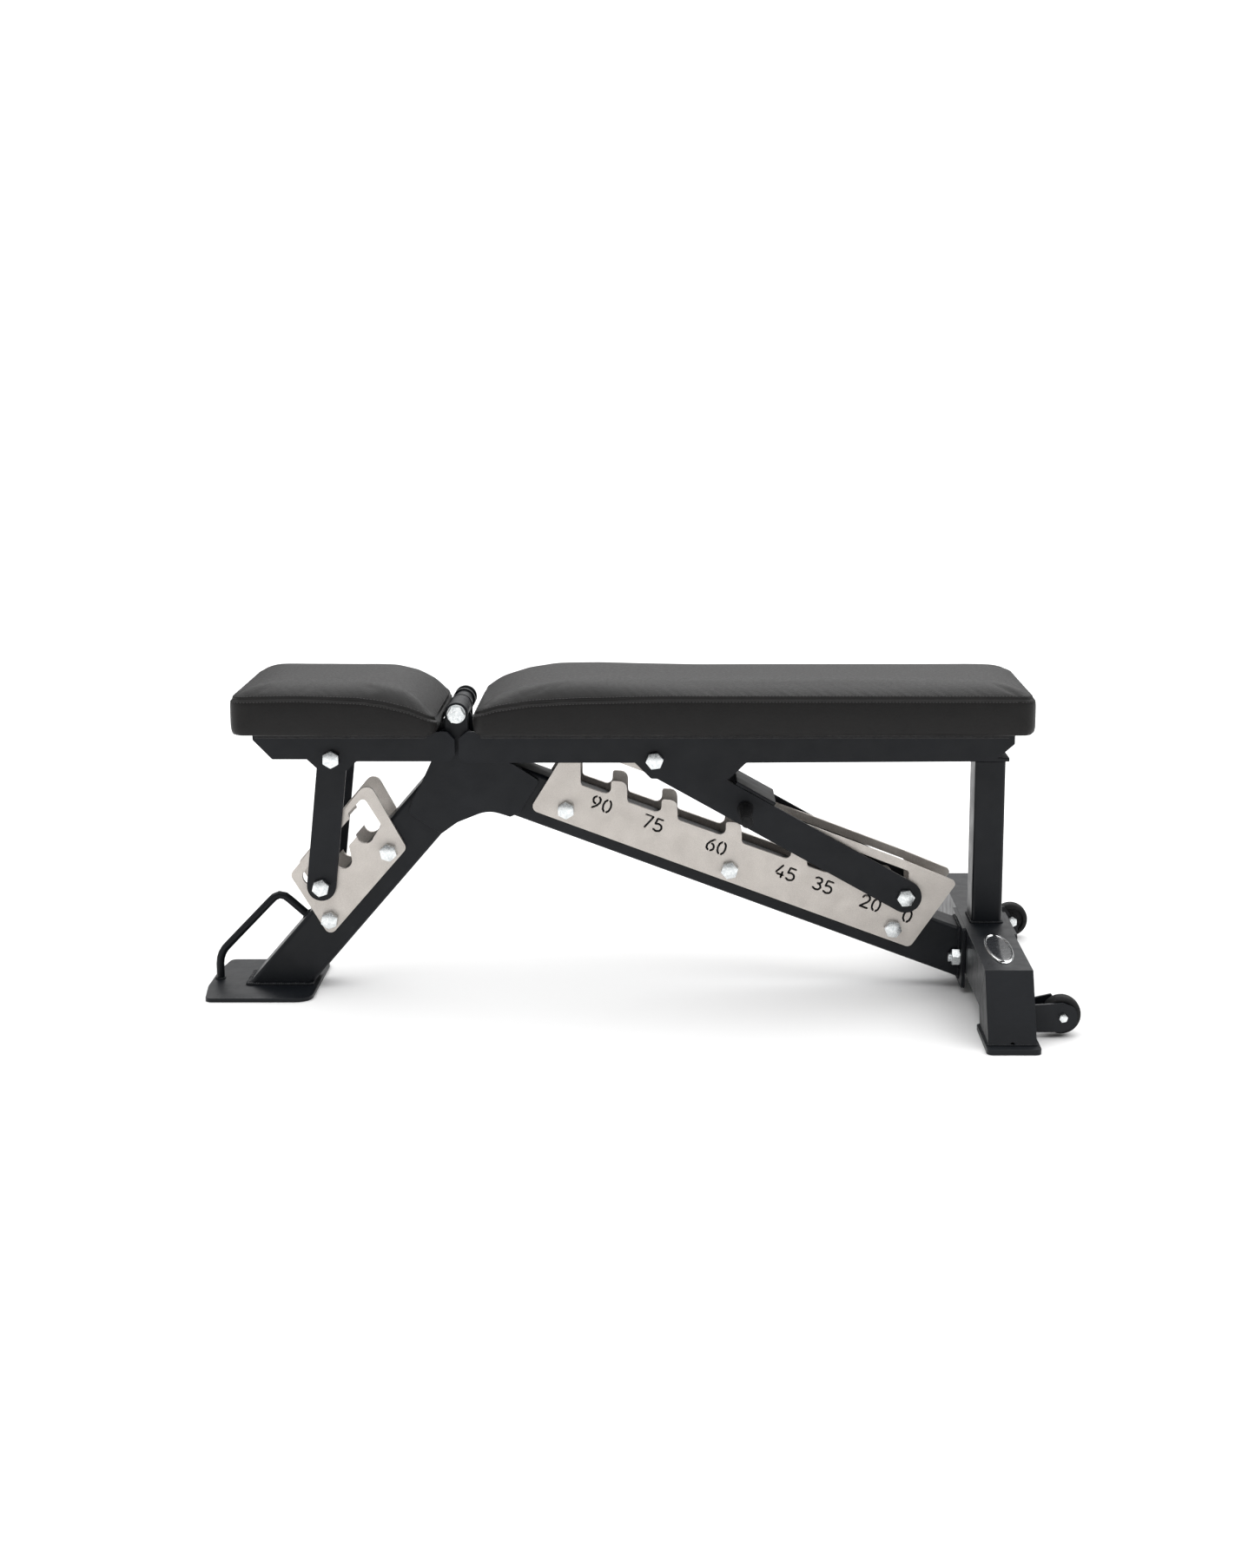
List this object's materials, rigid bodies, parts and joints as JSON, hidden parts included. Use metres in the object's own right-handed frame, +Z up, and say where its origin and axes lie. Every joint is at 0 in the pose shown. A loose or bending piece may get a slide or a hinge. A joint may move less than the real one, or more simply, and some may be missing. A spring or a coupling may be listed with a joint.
{
  "type": "weight bench",
  "caption": "Adjustable weight bench: tilting seat and reclining backrest share a hinge on a sloping box-tube frame, propped by struts in notched ladder plates; wheels under the rear foot",
  "frame": {"origin": "centre of the bounding box in plan, on the floor", "axes": "+X runs from the front foot and seat to the head end with the wheels, +Y is the side away from the pull handle, +Z is up; both pads lie flat at rest"},
  "size_m": [1.23, 0.7, 0.454],
  "materials": {
    "powder_coat": "black powder coat with a slight blue cast, semi-gloss, on welded steel tube and plate",
    "steel_plate": "warm silver metallic coat on laser-cut steel plate, fine satin grain",
    "zinc": "bright zinc plating on bolts, nuts and washers",
    "vinyl": "black leatherette with a fine grain, soft sheen",
    "rubber": "matt black moulded rubber",
    "backing": "coarse black backing cloth stapled over the board under each pad",
    "chrome": "polished chrome rim with a blank dark centre"
  },
  "bodies": {
    "frame": {"front_foot_plate": "powder_coat", "front_handle": "powder_coat", "front_leg": "powder_coat", "rear_beam": "powder_coat", "gusset_near": "powder_coat", "gusset_far": "powder_coat", "hinge_pin": "zinc", "hinge_far_sleeve": "powder_coat", "beam_flange": "powder_coat", "clamp_plate": "powder_coat", "flange_bolt_near": "zinc", "flange_bolt_far": "zinc", "cross_tube": "powder_coat", "foot_leg_near": "powder_coat", "foot_plate_near": "powder_coat", "foot_leg_far": "powder_coat", "foot_plate_far": "powder_coat", "rear_post": "powder_coat", "post_cap": "rubber", "badge": "chrome", "wheel_bracket_near": "powder_coat", "wheel_axle_near": "zinc", "wheel_bracket_far": "powder_coat", "wheel_axle_far": "zinc", "back_ladder_near": "steel_plate", "back_ladder_far": "steel_plate", "back_ladder_bolt_1": "zinc", "back_ladder_bolt_2": "zinc", "back_ladder_bolt_3": "zinc", "seat_ladder_near": "steel_plate", "seat_ladder_far": "steel_plate", "seat_ladder_bolt_1": "zinc", "seat_ladder_bolt_2": "zinc"},
    "wheel_near": {"wheel_near": "rubber"},
    "wheel_far": {"wheel_far": "rubber"},
    "seat": {"seat_side_near": "powder_coat", "seat_side_far": "powder_coat", "seat_board": "backing", "seat_pad": "vinyl", "seat_hinge": "powder_coat", "seat_pivot_bolt": "zinc"},
    "back": {"back_side_near": "powder_coat", "back_side_far": "powder_coat", "back_board": "backing", "back_pad": "vinyl", "back_hinge": "powder_coat", "back_rest_plate": "powder_coat", "back_pivot_bolt": "zinc"},
    "seat_strut": {"seat_strut_near": "powder_coat", "seat_strut_far": "powder_coat", "seat_strut_bolt_near": "zinc", "seat_strut_bolt_far": "zinc"},
    "back_strut": {"back_strut_near": "powder_coat", "back_strut_far": "powder_coat", "back_strut_bolt_near": "zinc", "back_strut_bolt_far": "zinc", "strut_bridge": "powder_coat", "strut_handle": "rubber"}
  },
  "joints": [
    {"name": "seat_tilt", "type": "hinge", "parent": "frame", "child": "seat", "pos_m": [-0.2475, 0, 0.4065], "axis": [0, 1, 0], "range_deg": [0, 20.5]},
    {"name": "seat_strut_swing", "type": "hinge", "parent": "seat", "child": "seat_strut", "pos_m": [-0.424, 0, 0.345], "axis": [0, 1, 0], "range_deg": [-44, 0]},
    {"name": "back_recline", "type": "hinge", "parent": "frame", "child": "back", "pos_m": [-0.2475, 0, 0.4065], "axis": [0, -1, 0], "range_deg": [0, 90]},
    {"name": "back_strut_swing", "type": "hinge", "parent": "back", "child": "back_strut", "pos_m": [0.034, 0, 0.343], "axis": [0, -1, 0], "range_deg": [-131.2, 0]},
    {"name": "wheel_near_spin", "type": "hinge", "parent": "frame", "child": "wheel_near", "pos_m": [0.5885, -0.256, 0.0295], "axis": [0, 1, 0], "continuous": true},
    {"name": "wheel_far_spin", "type": "hinge", "parent": "frame", "child": "wheel_far", "pos_m": [0.5885, 0.256, 0.0295], "axis": [0, 1, 0], "continuous": true}
  ],
  "couplings": [
    {"joint": "seat_strut_swing", "follows": "seat_tilt", "ratio": -2.145},
    {"joint": "back_strut_swing", "follows": "back_recline", "ratio": -1.457}
  ]
}
